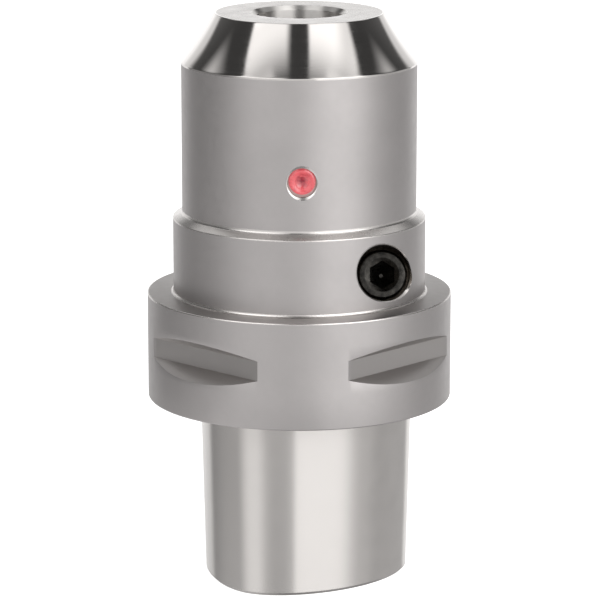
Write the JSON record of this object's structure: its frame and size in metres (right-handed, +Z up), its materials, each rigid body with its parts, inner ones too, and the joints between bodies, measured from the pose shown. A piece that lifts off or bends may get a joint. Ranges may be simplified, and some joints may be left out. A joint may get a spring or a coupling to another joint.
{
  "type": "hydraulic chuck",
  "caption": "Hydraulic expansion chuck: polygon taper shank, grooved flange, collar with clamping screw, barrel with red bleed screw, flared nose and tool bore.",
  "frame": {"origin": "centre of the shank's end face, on the chuck's axis", "axes": "+Z up the chuck's axis from the shank to the nose; -Y is the side that the clamping screw and the bleed screw face; +X is a lobe of the polygon shank and the side of the clamping screw"},
  "size_m": [0.063, 0.063, 0.118],
  "materials": {
    "blasted_steel": "hardened tool steel: bead-blasted flange, collar and barrel, polished nose, ground shank",
    "honed_steel": "honed bore, ground front face",
    "black_oxide_steel": "black oxide",
    "ground_steel": "ground",
    "backup_plastic": "turned filled PTFE",
    "seal_rubber": "moulded nitrile rubber",
    "red_lacquered_steel": "steel screw sealed with red lacquer",
    "ball_steel": "polished bearing steel",
    "dark_screw_steel": "black oxide",
    "ring_rubber": "moulded nitrile rubber"
  },
  "bodies": {
    "chuck": {"chuck_body": "blasted_steel", "expansion_sleeve": "honed_steel", "bleed_screw": "red_lacquered_steel", "bleed_ball": "ball_steel"},
    "piston": {"pressure_piston": "ground_steel", "backup_ring": "backup_plastic", "piston_seal": "seal_rubber"},
    "clamp_screw": {"clamping_screw": "black_oxide_steel"},
    "stop_seal": {"stop_screw_oring": "ring_rubber"},
    "stop_screw": {"length_stop_screw": "dark_screw_steel"}
  },
  "joints": [
    {"name": "piston_slide", "type": "slide", "parent": "chuck", "child": "piston", "axis": [0, 0.9659, -0.2588], "range_m": [0, 0.004]},
    {"name": "clamp_turn", "type": "hinge", "parent": "piston", "child": "clamp_screw", "pos_m": [0.0166, 0, 0.0624], "axis": [0, 0.9659, -0.2588], "range_deg": [0, 1440]},
    {"name": "stop_slide", "type": "slide", "parent": "chuck", "child": "stop_seal", "axis": [0, 0, 1], "range_m": [0, 0.01]},
    {"name": "stop_turn", "type": "hinge", "parent": "stop_seal", "child": "stop_screw", "pos_m": [0, 0, 0.0679], "axis": [0, 0, 1], "range_deg": [0, 3600]}
  ],
  "couplings": [
    {"joint": "clamp_turn", "follows": "piston_slide", "rad_per_m": 6283.2},
    {"joint": "stop_turn", "follows": "stop_slide", "rad_per_m": 6283.2}
  ]
}
